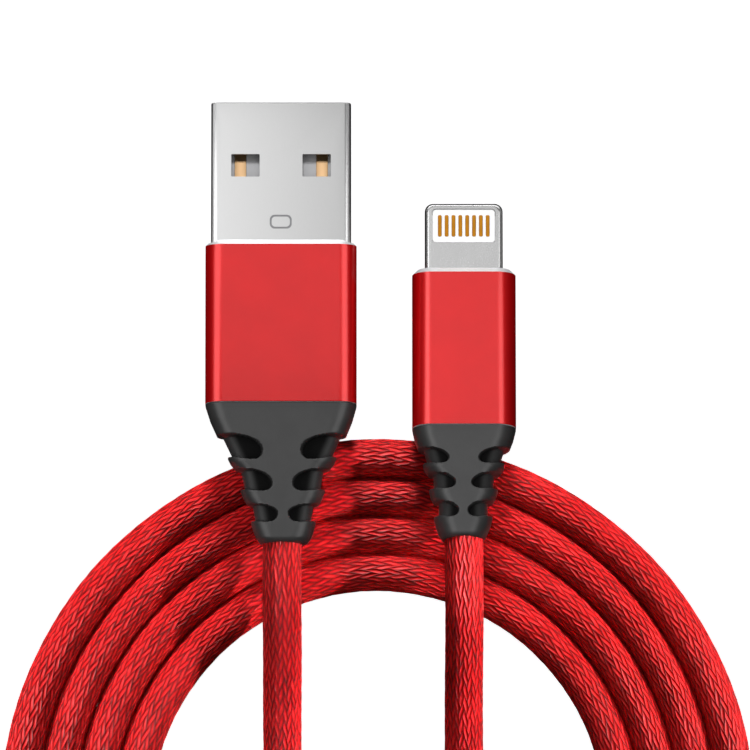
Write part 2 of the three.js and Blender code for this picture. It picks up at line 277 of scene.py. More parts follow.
def braid_material(strands, lay):
    """Braided nylon: the braid's own pattern sets colour, roughness and bump from the cord's UV map. Its colour
    also carries painted shade in the gaps between yarns and a painted pinkish highlight on the highest stitches.
    """
    graph = Graph("red_braid")
    uv = graph.put("ShaderNodeUVMap", uv_map="braid").outputs["UV"]
    parts = graph.put("ShaderNodeSeparateXYZ", {"Vector": uv})
    along, around = parts.outputs["X"], parts.outputs["Y"]
    turns = graph.math("DIVIDE", along, lay)
    slack = graph.spread(graph.noise(uv, 0.45, 1.0), -0.35, 0.35)
    left = graph.math("MULTIPLY_ADD", graph.math("ADD", around, turns), strands, slack)
    right = graph.math("MULTIPLY_ADD", graph.math("SUBTRACT", around, turns), strands, slack)
    row, column = graph.math("FLOOR", left), graph.math("FLOOR", right)
    weave = graph.math("FLOORED_MODULO", graph.math("ADD", row, column), 4.0)
    left_on_top = graph.math("LESS_THAN", weave, 1.5)

    def choose(if_left, if_right):
        sockets = {"Factor": left_on_top, "A": if_right, "B": if_left}
        return graph.put("ShaderNodeMix", sockets, data_type="FLOAT").outputs["Result"]

    def float_share(own, other, offset):
        phase = graph.math("ADD", graph.math("ADD", own, other), offset)
        return graph.math("MULTIPLY", graph.math("FLOORED_MODULO", phase, 4.0), 0.5)

    across = choose(graph.math("FRACT", left), graph.math("FRACT", right))
    length = choose(float_share(row, right, 0.0), float_share(column, left, 2.0))
    yarn = choose(row, graph.math("ADD", column, 0.5))
    start = choose(graph.math("SUBTRACT", right, graph.math("MULTIPLY", length, 2.0)),
                   graph.math("SUBTRACT", left, graph.math("MULTIPLY", length, 2.0)))
    hump = graph.math("SINE", graph.math("MULTIPLY", across, math.pi))
    arch = graph.math("SINE", graph.math("MULTIPLY", length, math.pi))
    stitch = graph.math("MULTIPLY", graph.math("POWER", hump, 0.75), graph.math("POWER", arch, 0.7))
    stitch_key = graph.put("ShaderNodeCombineXYZ", {"X": yarn, "Y": graph.math("ROUND", start)}).outputs[0]
    stitch_tone = graph.put("ShaderNodeTexWhiteNoise", {"Vector": stitch_key}).outputs["Value"]
    filament_place = graph.put("ShaderNodeCombineXYZ", {
        "X": graph.math("MULTIPLY", graph.math("ADD", yarn, across), 5.0),
        "Y": graph.math("MULTIPLY", length, 1.2),
        "Z": graph.math("MULTIPLY", stitch_tone, 9.0),
    }).outputs[0]
    filaments = graph.noise(filament_place, 1.0, 2.0)
    patches = graph.noise(uv, 0.55, 2.0)
    height = graph.math("ADD", stitch, graph.math("MULTIPLY", filaments, 0.3))
    lifted = graph.math("ADD", height, graph.math("MULTIPLY", stitch_tone, 0.45))
    shade = graph.math("ADD", lifted, graph.math("MULTIPLY", patches, 0.35))
    # The ramp turns low stitch height into near-black red in the gaps (painted shade) and makes the highest
    # stitches lighter and pinkish (painted highlight). The per-stitch and patchy changes are the yarn's own.
    graph.set(Base_Color=graph.ramp(graph.math("MULTIPLY", shade, 0.5), [
        (0.20, (0.10, 0.001, 0.001)),
        (0.44, (0.46, 0.003, 0.004)),
        (0.66, (0.80, 0.006, 0.008)),
        (0.90, (0.93, 0.028, 0.033)),
    ]))
    graph.set(Roughness=graph.spread(filaments, 0.40, 0.60))
    graph.set(Specular_IOR_Level=0.28)
    graph.bump(height, 0.16 * MM)
    return graph.material


def anodised_material():
    graph = Graph("red_anodised")
    place = graph.coordinates()
    fine = graph.noise(place, 1 / (0.09 * MM), 2.0)
    broad = graph.noise(place, 1 / (4 * MM), 3.0)
    graph.set(Base_Color=graph.ramp(broad, [(0.3, tint(RED, 0.95)), (0.7, tint(RED, 1.05))]))
    graph.set(Metallic=0.55, Coat_Weight=0.8, Coat_Roughness=0.22, Coat_IOR=1.58)
    graph.set(Specular_IOR_Level=0.0)
    graph.set(Roughness=graph.spread(fine, 0.30, 0.40))
    graph.bump(fine, 0.004 * MM)
    return graph.material


def metal_material(name, colour, roughness, lines):
    """Plated metal with fine drawing lines along Y; lines is their spacing in millimetres."""
    stretch = (1.0, 0.04, 1.0)
    return grained(name, colour, roughness, lines, 0.0015 * MM, metallic=1.0, vary=0.02, stretch=stretch)


def shell_material():
    """Plated steel, drawn along Y, with its colour lighter at the left and darker at the right of the plug's
    width: painted shading.
    """
    graph = Graph("plated_steel")
    place = graph.coordinates()
    parts = graph.put("ShaderNodeSeparateXYZ", {"Vector": place})
    drawn = graph.put("ShaderNodeVectorMath", {0: place, 1: (1.0, 0.04, 1.0)}, operation="MULTIPLY")
    lines = graph.noise(drawn.outputs[0], 1 / (0.05 * MM))
    # The ramp runs from light steel on the left to dark steel on the right: painted shading in place of the
    # reflection's falloff, with the drawing lines added on top.
    low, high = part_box("usb_shell")
    sockets = {"Value": parts.outputs["X"], "From Min": low.x, "From Max": high.x}
    across = graph.put("ShaderNodeMapRange", sockets).outputs["Result"]
    lines_and_painted_shading = graph.math("ADD", across, graph.math("MULTIPLY", lines, 0.12))
    graph.set(Base_Color=graph.ramp(lines_and_painted_shading, [
        (0.05, (0.74, 0.74, 0.74)), (0.5, (0.65, 0.65, 0.65)), (1.0, (0.54, 0.54, 0.54)),
    ]))
    graph.set(Metallic=1.0, Roughness=graph.spread(lines, 0.26, 0.34))
    graph.bump(lines, 0.0015 * MM)
    return graph.material


def rubber_material():
    """Black moulded rubber, satin on the outside, matt in the bottom of the slots, where its colour is also
    darkened to near black: painted shade.
    """
    graph = Graph("black_relief")
    place = graph.coordinates()
    fine = graph.noise(place, 1 / (0.06 * MM))
    broad = graph.noise(place, 1 / (1.5 * MM), 2.0)
    cavity = graph.put("ShaderNodeAttribute", attribute_name="cavity").outputs["Fac"]
    outside = graph.ramp(broad, [(0.3, (0.030, 0.030, 0.030)), (0.7, (0.035, 0.035, 0.035))])
    # On the slot floors the mask blends the rubber's colour into near black: painted shade. The same mask also
    # makes them matt and less glossy.
    colour = graph.put("ShaderNodeMix", data_type="RGBA")
    graph.feed(colour.inputs[0], cavity)
    graph.feed(colour.inputs[6], outside)
    graph.feed(colour.inputs[7], (0.004, 0.004, 0.004, 1.0))
    graph.set(Base_Color=colour.outputs[2])
    matt = graph.math("MULTIPLY", cavity, 0.3)
    graph.set(Roughness=graph.math("ADD", graph.spread(fine, 0.33, 0.43), matt))
    graph.set(Specular_IOR_Level=graph.spread(cavity, 0.5, 0.06))
    graph.bump(fine, 0.003 * MM)
    return graph.material


anodised = anodised_material()
bright_cut = grained("bright_cut_edge", (0.95, 0.95, 0.97), 0.30, 0.05, 0.0005 * MM, 0.3, 0.02)
plated = shell_material()
# A darker, duller copy of the plated steel: painted shade on the shell's inside wall and on every face a cutter
# leaves (windows, pressed mark, seam, bores, tab window and channel).
painted_shade_steel = metal_material("plated_steel_inside", (0.30, 0.30, 0.31), 0.45, 0.05)
tab_metal = metal_material("tab_metal", (0.50, 0.50, 0.50), 0.26, 0.05)
socket_gold = grained("contact_gold", (0.90, 0.56, 0.27), 0.50, 0.04, 0.0008 * MM, 0.2, 0.06)
tab_gold = grained("tab_contact_gold", (0.46, 0.185, 0.008), 0.34, 0.04, 0.0008 * MM, 0.8, 0.08)
rubber = rubber_material()
jacket = grained("inner_jacket", (0.02, 0.02, 0.021), 0.5, 0.08, 0.003 * MM)
grey_plastic = grained("grey_plastic", (0.32, 0.32, 0.33), 0.5, 0.07, 0.003 * MM)
white_plastic = grained("white_plastic", (0.97, 0.97, 0.97), 0.4, 0.07, 0.002 * MM, 0.0, 0.02)
mould_plastic = grained("mould_plastic", (0.70, 0.68, 0.62), 0.55, 0.09, 0.004 * MM)
board_green = grained("circuit_board", (0.02, 0.16, 0.07), 0.35, 0.08, 0.002 * MM)
chip_black = grained("chip_black", (0.015, 0.015, 0.018), 0.5, 0.05, 0.003 * MM)
WIRE_COLOURS = {
    "power": (0.60, 0.03, 0.03),
    "data_minus": (0.78, 0.78, 0.76),
    "data_plus": (0.05, 0.33, 0.11),
    "ground": (0.02, 0.02, 0.02),
}
wire_paint = {
    name: grained(f"wire_{name}", colour, 0.35, 0.1, 0.002 * MM)
    for name, colour in WIRE_COLOURS.items()
}

# ---------- the cord ----------

coil_low, coil_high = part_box("cord_coil")
CORD_DIAMETER = (coil_high.z - coil_low.z) / MM
CORD_RADIUS = CORD_DIAMETER / 2
COIL_OUTER = (coil_high.x - coil_low.x) / 2 / MM
COIL_X = (coil_high.x + coil_low.x) / 2 / MM
COIL_FRONT_Y = coil_high.y / MM - COIL_OUTER
COIL_BACK_Y = coil_low.y / MM + COIL_OUTER
TURNS = 4
TURN_PITCH = 3.25
INNER_TURN = COIL_OUTER - CORD_RADIUS - (TURNS - 1) * TURN_PITCH
TABLE_LEVEL = 1.7
CROSSING_LEVEL = 5.3
BRAID_STRANDS = 28
BRAID_LAY = 38.0

# Where the loose ends leave the coil and join it: bends of one radius, inside the back arc
BEND_RADIUS = 12.0
JOIN_BEND = (COIL_X + 3.73, COIL_BACK_Y - 6.04)
LEAVE_BEND = (COIL_X - 4.47, COIL_BACK_Y - 18.3)
STEP_START = 256.0
STEP_END = 360.0
CLIMB_START = 228.0
CLIMB_END = 282.0

USB_ROUTE = [
    (-6.72, -18.2, 7.1), (-6.72, -19.4, 7.3), (-6.72, -21.8, 7.5), (-6.72, -24.5, 7.15), (-6.72, -28, 5.9),
    (-6.72, -32, 4.1), (-6.72, -36, 2.6), (-6.72, -40, 1.85), (-6.72, -46, 1.7),
    (-6.72, -53, 1.7), (-6.72, -60, 1.7), (-6.72, -66.7, 1.7), (-6.12, -70.7, 1.7),
    (-4.2, -74.3, 1.7), (-1.2, -76.9, 1.7), (1.07, -78, 1.7),
]
PHONE_ROUTE = [
    (8.85, -18.0, 7.5), (8.85, -19.05, 7.8), (8.85, -21.3, 8.1), (8.85, -24.5, 7.8), (8.85, -28, 6.4),
    (8.85, -32, 4.4), (8.85, -36, 2.7), (8.85, -40, 1.85), (8.85, -46, 1.7),
    (8.85, -54, 1.7), (8.85, -62, 1.7), (8.85, -66.5, 1.95), (8.85, -69.5, 2.8),
    (8.85, -72.5, 4), (8.85, -75.5, 5), (8.85, -79, 5.3), (7.85, -84, 5.3),
    (5.46, -87.5, 5.3), (2.04, -89.9, 5.3), (0.1, -90.6, 5.3),
]


def smooth_step(value, start, end):
    """0 before start, 1 after end, and an eased rise between."""
    share = min(1.0, max(0.0, (value - start) / (end - start)))
    return share * share * (3 - 2 * share)


def on_arc(centre, radius, angle, height):
    """A point on a level arc; the angle is in degrees from +X."""
    turn = math.radians(angle)
    return (centre[0] + radius * math.cos(turn), centre[1] + radius * math.sin(turn), height)


def climb_height(angle):
    """The outer turn's height as it climbs over the others near its end."""
    return TABLE_LEVEL + (CROSSING_LEVEL - TABLE_LEVEL) * smooth_step(angle, CLIMB_START, CLIMB_END)


def cord_route():
    """Control points of the whole cord, from the USB plug's relief to the phone plug's."""
    front = (COIL_X, COIL_FRONT_Y)
    back = (COIL_X, COIL_BACK_Y)
    points = list(USB_ROUTE)
    points += [on_arc(JOIN_BEND, BEND_RADIUS, angle, TABLE_LEVEL) for angle in (262, 275, 288)]
    for angle in range(304, 360, 8):
        radius = INNER_TURN - TURN_PITCH + TURN_PITCH * smooth_step(angle, STEP_START, STEP_END)
        points.append(on_arc(back, radius, angle, TABLE_LEVEL))
    for turn in range(TURNS):
        radius = INNER_TURN + turn * TURN_PITCH
        points += [on_arc(front, radius, angle, TABLE_LEVEL) for angle in range(0, 181, 8)]
        last = turn == TURNS - 1
        for angle in range(184, 256 if last else 360, 8):
            step = TURN_PITCH * smooth_step(angle, STEP_START, STEP_END)
            height = climb_height(angle) if last else TABLE_LEVEL
            points.append(on_arc(back, radius + step, angle, height))
    points += [on_arc(LEAVE_BEND, BEND_RADIUS, angle, climb_height(angle)) for angle in (258, 267, 276)]
    return np.array(points + PHONE_ROUTE[::-1], float)


def smooth_line(points, spacing):
    """A centripetal Catmull-Rom curve through points, resampled at an even spacing."""
    ends = [2 * points[0] - points[1], *points, 2 * points[-1] - points[-2]]
    fine = []
    for p0, p1, p2, p3 in zip(ends, ends[1:], ends[2:], ends[3:]):
        t1 = np.linalg.norm(p1 - p0) ** 0.5
        t2 = t1 + np.linalg.norm(p2 - p1) ** 0.5
        t3 = t2 + np.linalg.norm(p3 - p2) ** 0.5
        for t in np.linspace(t1, t2, 17)[:-1]:
            a1 = p0 * (t1 - t) / t1 + p1 * t / t1
            a2 = p1 * (t2 - t) / (t2 - t1) + p2 * (t - t1) / (t2 - t1)
            a3 = p2 * (t3 - t) / (t3 - t2) + p3 * (t - t2) / (t3 - t2)
            b1 = a1 * (t2 - t) / t2 + a2 * t / t2
            b2 = a2 * (t3 - t) / (t3 - t1) + a3 * (t - t1) / (t3 - t1)
            fine.append(b1 * (t2 - t) / (t2 - t1) + b2 * (t - t1) / (t2 - t1))
    fine = np.array([*fine, points[-1]])
    walked = np.concatenate([[0], np.cumsum(np.linalg.norm(np.diff(fine, axis=0), axis=1))])
    stations = np.linspace(0, walked[-1], int(walked[-1] / spacing) + 1)
    line = np.column_stack([np.interp(stations, walked, fine[:, axis]) for axis in range(3)])
    return line, stations


def carried_frames(line):
    """Unit side and up vectors along a line, carried along it without twist."""
    tangents = np.gradient(line, axis=0)
    tangents /= np.linalg.norm(tangents, axis=1)[:, None]
    side = np.cross(tangents[0], (0, 0, 1))
    sides = []
    for tangent in tangents:
        side = side - tangent * (side @ tangent)
        side = side / np.linalg.norm(side)
        sides.append(side)
    sides = np.array(sides)
    return sides, np.cross(sides, tangents)


def braid_relief(along, around):
    """Height of the braid, 0 to 1, at a distance along the cord (mm) and a share of a turn around it."""
    left = BRAID_STRANDS * (around + along / BRAID_LAY)
    right = BRAID_STRANDS * (around - along / BRAID_LAY)
    row, column = np.floor(left), np.floor(right)
    left_on_top = (row + column) % 4 < 1.5
    across = np.where(left_on_top, left, right) % 1
    length = np.where(left_on_top, (row + right) % 4, (column + left + 2) % 4) / 2
    return np.sin(math.pi * across) ** 0.7 * np.sin(math.pi * length) ** 0.5


def make_cord():
    """The whole cord as one closed tube: its surface carries the braid and a very slight wander."""
    around_count = 2 * BRAID_STRANDS
    ring_step = 0.53
    relief_depth = 0.10
    proud = 0.03
    line, stations = smooth_line(cord_route(), ring_step)
    sides, ups = carried_frames(line)
    shares = np.arange(around_count) / around_count
    along, around = np.meshgrid(stations, shares, indexing="ij")
    wander = 0.015 * np.sin(along / 5.3) + 0.015 * np.sin(along / 2.1 + TAU * around)
    radius = CORD_RADIUS + proud - relief_depth * (1 - braid_relief(along, around)) + wander
    angle = TAU * around
    ring = sides[:, None, :] * np.cos(angle)[..., None] + ups[:, None, :] * np.sin(angle)[..., None]
    vertices = (line[:, None, :] + ring * radius[..., None]).reshape(-1, 3)
    rows = len(line)
    faces = []
    uvs = []
    for row in range(rows - 1):
        base = row * around_count
        for k in range(around_count):
            after = (k + 1) % around_count
            faces.append((base + k, base + after, base + around_count + after, base + around_count + k))
            low, high = shares[k], (k + 1) / around_count
            start, end = stations[row], stations[row + 1]
            uvs += [(start, low), (start, high), (end, high), (end, low)]
    faces.append(tuple(range(around_count))[::-1])
    faces.append(tuple((rows - 1) * around_count + k for k in range(around_count)))
    uvs += [(0.0, 0.0)] * (2 * around_count)
    mesh = bpy.data.meshes.new("cord")
    mesh.from_pydata((vertices * MM).tolist(), [], faces)
    layer = mesh.uv_layers.new(name="braid")
    layer.data.foreach_set("uv", np.array(uvs, np.float32).ravel())
    mesh.materials.append(braid_material(BRAID_STRANDS, BRAID_LAY))
    mesh.polygons.foreach_set("use_smooth", [True] * len(mesh.polygons))
    mesh.update()
    cord = bpy.data.objects.new("braided_cord", mesh)
    bpy.context.scene.collection.objects.link(cord)
    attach(cord, "cord")
    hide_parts("usb_cord_tail", "cord_coil", "phone_cord_tail")


make_cord()

# ---------- strain reliefs ----------

# Distances in millimetres behind the relief's front face, and half widths there. A slot is a notch cut
# from each side towards the middle web: it starts, runs to its tip and ends again.
RELIEF_GAP = 0.06
USB_RELIEF = {
    "length": 11.9,
    "tail_shift": 0.25,
    "front_half_height": 2.75,
    "tail_half_height": 1.95,
    "outline": [
        (0, 6.47), (1.3, 6.08), (2.66, 5.5), (4.4, 4.7), (5.0, 4.42), (5.55, 3.98),
        (7.28, 3.63), (8.1, 3.31), (8.58, 3.03), (9.99, 2.79), (10.8, 2.58), (11.45, 2.33), (11.9, 2.0),
    ],
    "slots": [
        {"start": 2.7, "tip_at": 4.05, "end": 4.95, "side_end": 4.46, "web": 1.7},
        {"start": 5.62, "tip_at": 6.86, "end": 7.6, "side_end": 7.26, "web": 0.9},
        {"start": 8.6, "tip_at": 9.4, "end": 10.25, "side_end": 9.97, "web": 0.47},
    ],
}
PHONE_RELIEF = {
    "length": 9.6,
    "tail_shift": -0.12,
    "front_half_height": 2.25,
    "tail_half_height": 1.85,
    "outline": [
        (0, 4.43), (0.9, 4.22), (1.75, 3.9), (3.05, 3.5), (3.5, 3.4), (3.95, 3.04),
        (5.35, 2.95), (6.0, 2.78), (6.45, 2.5), (7.6, 2.53), (8.4, 2.36), (9.1, 2.1), (9.6, 1.85),
    ],
    "slots": [
        {"start": 1.8, "tip_at": 2.75, "end": 3.35, "side_end": 3.0, "web": 1.32},
        {"start": 3.95, "tip_at": 4.9, "end": 5.5, "side_end": 5.25, "web": 0.72},
        {"start": 6.4, "tip_at": 7.3, "end": 8.0, "side_end": 7.6, "web": 0.42},
    ],
}


def slot_share(slot, behind, reach, half_width):
    """1 inside a slot, 0 outside, with a short wall between. reach is the distance from the middle."""
    wall = 0.09
    front_run, rear_run = 2.4, 0.95
    outward = np.clip((reach - slot["web"]) / (half_width - slot["web"]), 0, 1)
    end = slot["end"] + (slot["side_end"] - slot["end"]) * outward
    tip_at = np.minimum(slot["tip_at"], end - 0.2)
    before_tip = behind < tip_at
    half = np.where(before_tip, tip_at - slot["start"], end - tip_at)
    run = np.where(before_tip, front_run, rear_run)
    level = np.clip(np.abs(behind - tip_at) / half, 0, 1)
    edge = slot["web"] + run * (1 - np.sqrt(1 - level**2))
    depth = np.minimum(reach - edge, half - np.abs(behind - tip_at))
    share = np.clip(depth / wall * 0.5 + 0.5, 0, 1)
    return share * share * (3 - 2 * share)


def make_relief(name, relief, place):
    """A tapered ribbed sleeve, its tail a little off the middle. Slots step from hull to floor section."""
    row_step = 0.07
    per_side = 52
    floor_drop = 1.15
    side_drop = 0.42
    core = 1.32
    edge_corner = 1.75
    length = relief["length"]
    stations = np.linspace(0, length, int(length / row_step) + 1)
    known = np.array(relief["outline"])
    half_widths = np.interp(stations, known[:, 0], known[:, 1])
    end_half_heights = [relief["front_half_height"], relief["tail_half_height"]]
    half_heights = np.interp(stations, [0, length], end_half_heights)
    tail_round = 0.5
    rings = []
    slot_shade_and_matt_rows = []
    for behind, half_width, half_height in zip(stations, half_widths, half_heights):
        to_tail = length - behind
        if to_tail < tail_round:
            shrink = tail_round - math.sqrt(tail_round**2 - (tail_round - to_tail) ** 2)
            half_height -= shrink
        corner = min(edge_corner, half_height - 0.05, half_width - 0.05)
        hull = even_ring(half_width, half_height, corner, per_side)
        drop = min(floor_drop, half_height - core)
        inner_width = max(half_width - side_drop, core)
        inner_height = half_height - drop
        inner_corner = min(inner_height, inner_width) - 0.02
        floor = even_ring(inner_width, inner_height, inner_corner, per_side)
        share = np.zeros(len(hull))
        for slot in relief["slots"]:
            share = np.maximum(share, slot_share(slot, behind, np.abs(hull[:, 0]), half_width))
        points = hull * (1 - share[:, None]) + floor * share[:, None]
        points = points + np.array((relief["tail_shift"] * behind / length, 0))
        rings.append(section_at(points, -RELIEF_GAP - behind))
        # The slot-floor mask is strongest towards the middle web and fades out near the sides, so the painted
        # shade darkens the floors most at their tips.
        from_side = (inner_width - np.abs(floor[:, 0])) / 0.9
        slot_shade_and_matt_rows.append(share * np.clip(from_side - 0.35, 0, 1))
    vertices, faces = loft(rings)
    piece = make_object(name, vertices, faces, [rubber], place, smooth_angle=60)
    cavity = piece.data.attributes.new("cavity", "FLOAT", "POINT")
    cavity.data.foreach_set("value", np.concatenate(slot_shade_and_matt_rows).astype(np.float32))
    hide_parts(name)
    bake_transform(piece)


def even_ring(half_width, half_height, corner, per_side):
    """A rounded rectangle whose points keep the same count on each flat and corner."""
    flat_x = half_width - corner
    flat_z = half_height - corner
    quarter = max(6, per_side // 4)
    shares = np.linspace(0, 1, per_side, endpoint=False)
    bends = np.linspace(0, math.pi / 2, quarter, endpoint=False)
    rights = np.linspace(0, 1, 4, endpoint=False)
    points = []
    for share in rights:
        points.append((half_width, flat_z * (2 * share - 1)))
    for bend in bends:
        points.append((flat_x + corner * math.cos(bend), flat_z + corner * math.sin(bend)))
    for share in shares:
        points.append((flat_x * (1 - 2 * share), half_height))
    for bend in bends:
        points.append((-flat_x - corner * math.sin(bend), flat_z + corner * math.cos(bend)))
    for share in rights:
        points.append((-half_width, flat_z * (1 - 2 * share)))
    for bend in bends:
        points.append((-flat_x - corner * math.cos(bend), -flat_z - corner * math.sin(bend)))
    for share in shares:
        points.append((flat_x * (2 * share - 1), -half_height))
    for bend in bends:
        points.append((flat_x + corner * math.sin(bend), -flat_z - corner * math.cos(bend)))
    return np.array(points)


def make_inner_cable(name, relief, place):
    """The jacketed cable inside the relief, its front end just inside the housing."""
    radius = 1.2
    front = 0.4
    steps = 40
    ring = rounded_ring(2 * radius, 2 * radius, radius, 6)
    rear = -relief["length"]
    rings = [section_at(ring, rear + (front - rear) * k / steps) for k in range(steps + 1)]
    vertices, faces = loft(rings)
    piece = make_object(name, vertices, faces, [jacket], place)
    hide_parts(name)
    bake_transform(piece)


# ---------- housings ----------


def prism(name, ring, low, high, place, along="z"):
    """A closed straight cutter from a ring in X and Y (along z) or in X and Z (along y)."""
    put = layer_at if along == "z" else section_at
    vertices, faces = loft([put(ring, low), put(ring, high)])
    # The faces this cutter leaves take its darker steel: painted shade.
    return make_object(name, vertices, faces, [painted_shade_steel], place)


def make_housing(name, body, place, inset, bore):
    """An anodised sleeve: rounded section, bright cut front edge, eased rear edge and plain bore.

    inset is how far the front edge is cut in; bore is the bore's width, height and corner.
    """
    low, high = extent(name, place)
    width, height = high[0] - low[0], high[2] - low[2]
    front = high[1]
    length = front - CHAMFER_LENGTH
    ease = 0.06

    def outer(shrink, y):
        ring = rounded_ring(width - 2 * shrink, height - 2 * shrink, HOUSING_CORNER - shrink, 14)
        return section_at(ring, y)

    rings = [
        outer(ease, 0.0),
        outer(ease * 0.3, ease * 0.3),
        outer(0.0, ease),
        outer(0.0, length),
        outer(inset, front),
    ]
    vertices, faces = loft(rings)
    side_faces = 3 * len(rings[0])
    marks = [0 if face < side_faces else 1 for face in range(len(faces))]
    piece = make_object(name, vertices, faces, [anodised, bright_cut], place, marks, 25)
    # The bore's faces take the cutter's darker steel: painted shade.
    cut_away(piece, [prism("bore", rounded_ring(*bore), -1.0, length + 2.0, place, along="y")], 25)
    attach(piece, body)
    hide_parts(name)


shell_low, shell_high = extent("usb_shell", usb_place)
SHELL_WIDTH = shell_high[0] - shell_low[0]
SHELL_HEIGHT = shell_high[2] - shell_low[2]
SHELL_REAR, USB_NOSE = shell_low[1], shell_high[1]
SHELL_CORNER = 0.6
SHELL_WALL = 0.3
HOUSING_CORNER = 1.7
CHAMFER_LENGTH = 0.43
FIT_GAP = 0.15
PHONE_HOUSING_WALL = 0.48

make_housing("usb_housing", "usb_plug", usb_place, 0.5, (
    SHELL_WIDTH + 2 * FIT_GAP, SHELL_HEIGHT + 2 * FIT_GAP, SHELL_CORNER + FIT_GAP,
))
phone_low, phone_high = extent("phone_housing", phone_place)
make_housing("phone_housing", "phone_plug", phone_place, 0.45, (
    phone_high[0] - phone_low[0] - 2 * PHONE_HOUSING_WALL,
    phone_high[2] - phone_low[2] - 2 * PHONE_HOUSING_WALL,
    HOUSING_CORNER - PHONE_HOUSING_WALL,
))

# ---------- USB shell, tongue and contacts ----------


def make_usb_shell():
    """The folded steel shell with its latch windows, the pressed mark on top and the seam below."""
    lip = 0.1
    wall = 2 * SHELL_WALL

    def outer(shrink, y):
        ring = rounded_ring(SHELL_WIDTH - 2 * shrink, SHELL_HEIGHT - 2 * shrink, SHELL_CORNER - shrink)
        return section_at(ring, y)

    def inner(y):
        ring = rounded_ring(SHELL_WIDTH - wall, SHELL_HEIGHT - wall, SHELL_CORNER - SHELL_WALL)
        return section_at(ring, y)

    rings = [
        outer(0.0, SHELL_REAR),
        outer(0.0, USB_NOSE - lip),
        outer(lip * 0.3, USB_NOSE - lip * 0.3),
        outer(lip, USB_NOSE),
        inner(USB_NOSE),
        inner(SHELL_REAR),
    ]
    vertices, faces = loft(rings, closed=True)
    count = len(rings[0])
    # The shell's inside wall takes the darker copy of the steel: painted shade.
    marks = [1 if 4 * count <= face < 5 * count else 0 for face in range(len(faces))]
    shell = make_object("usb_shell", vertices, faces, [plated, painted_shade_steel], usb_place, marks, 25)
    cutters = []
    latch_width, latch_length, latch_x = 2.43, 1.95, 3.05
    latch_y = USB_NOSE - 4.49 - latch_length / 2
    for side in (-1, 1):
        ring = rounded_ring(latch_width, latch_length, 0.08, 4) + np.array((side * latch_x, latch_y))
        cutters.append(prism("window", ring, -4.0, 4.0, usb_place))
    cut_away(shell, cutters, 25)
    mark_middle = np.array((-0.02, USB_NOSE - 10.35))
    mark_width, mark_length, groove = 1.88, 1.2, 0.16
    outer_mark = rounded_ring(mark_width, mark_length, 0.42, 6) + mark_middle
    inner_mark = rounded_ring(mark_width - 2 * groove, mark_length - 2 * groove, 0.32, 6) + mark_middle
    top = SHELL_HEIGHT / 2
    rings = [layer_at(ring, z) for ring, z in (
        (outer_mark, top - 0.07), (outer_mark, top + 0.5), (inner_mark, top + 0.5), (inner_mark, top - 0.07),
    )]
    vertices, faces = loft(rings, closed=True)
    seam = rounded_ring(0.07, 2 * (USB_NOSE - SHELL_REAR), 0.02, 2) + np.array((0, USB_NOSE))
    # The pressed mark's groove and the seam take the darker steel: painted shade.
    cut_away(shell, [
        make_object("mark", vertices, faces, [painted_shade_steel], usb_place),
        prism("seam", seam, -top - 0.5, -top + 0.08, usb_place),
    ], 25)
    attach(shell, "usb_plug")
    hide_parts("usb_shell")


def make_block(name, place, body, material, bevel):
    """A block with rounded edges, of the CAD node's own size and place."""
    low, high = extent(name, place)
    shape = bmesh.new()
    bmesh.ops.create_cube(shape, size=1.0)
    bmesh.ops.scale(shape, vec=high - low, verts=shape.verts)
    bmesh.ops.bevel(shape, geom=shape.edges[:], offset=bevel, segments=2, profile=0.5, affect="EDGES")
    bmesh.ops.translate(shape, vec=(low + high) / 2, verts=shape.verts)
    mesh = bpy.data.meshes.new(name)
    shape.to_mesh(mesh)
    shape.free()
    mesh.transform(place @ Matrix.Scale(MM, 4))
    mesh.materials.append(material)
    block = bpy.data.objects.new(name, mesh)
    bpy.context.scene.collection.objects.link(block)
    finish_normals(block, 30)
    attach(block, body)
    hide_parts(name)


make_usb_shell()
make_block("usb_contact_tongue", usb_place, "usb_plug", grey_plastic, 0.12)
for line in WIRE_COLOURS:
    make_block(f"usb_contact_{line}", usb_place, "usb_plug", socket_gold, 0.06)

# ---------- phone tab, insulator and contacts ----------

tab_low, tab_high = extent("phone_tab", phone_place)
TAB_WIDTH = tab_high[0] - tab_low[0]
TAB_HALF_HEIGHT = tab_high[2]
TAB_REAR, PHONE_NOSE = tab_low[1], tab_high[1]
insulator_low, insulator_high = extent("phone_insulator", phone_place)
WINDOW_WIDTH = insulator_high[0] - insulator_low[0] + 2 * FIT_GAP
WINDOW_REAR = insulator_low[1] - FIT_GAP
WINDOW_LENGTH = insulator_high[1] + FIT_GAP - WINDOW_REAR
window_middle = np.array((0, WINDOW_REAR + WINDOW_LENGTH / 2))


def tab_outline(shrink, steps=10):
    """The tab seen from above: square rear, rounded nose corners, drawn in by shrink."""
    half = TAB_WIDTH / 2 - shrink
    corner = 0.72 - 0.5 * shrink
    nose = PHONE_NOSE - shrink
    points = [(-half, TAB_REAR), (half, TAB_REAR)]
    for start, side in ((0, 1), (math.pi / 2, -1)):
        for step in range(steps + 1):
            angle = start + step / steps * math.pi / 2
            x = side * (half - corner) + corner * math.cos(angle)
            points.append((x, nose - corner + corner * math.sin(angle)))
    return np.array(points)


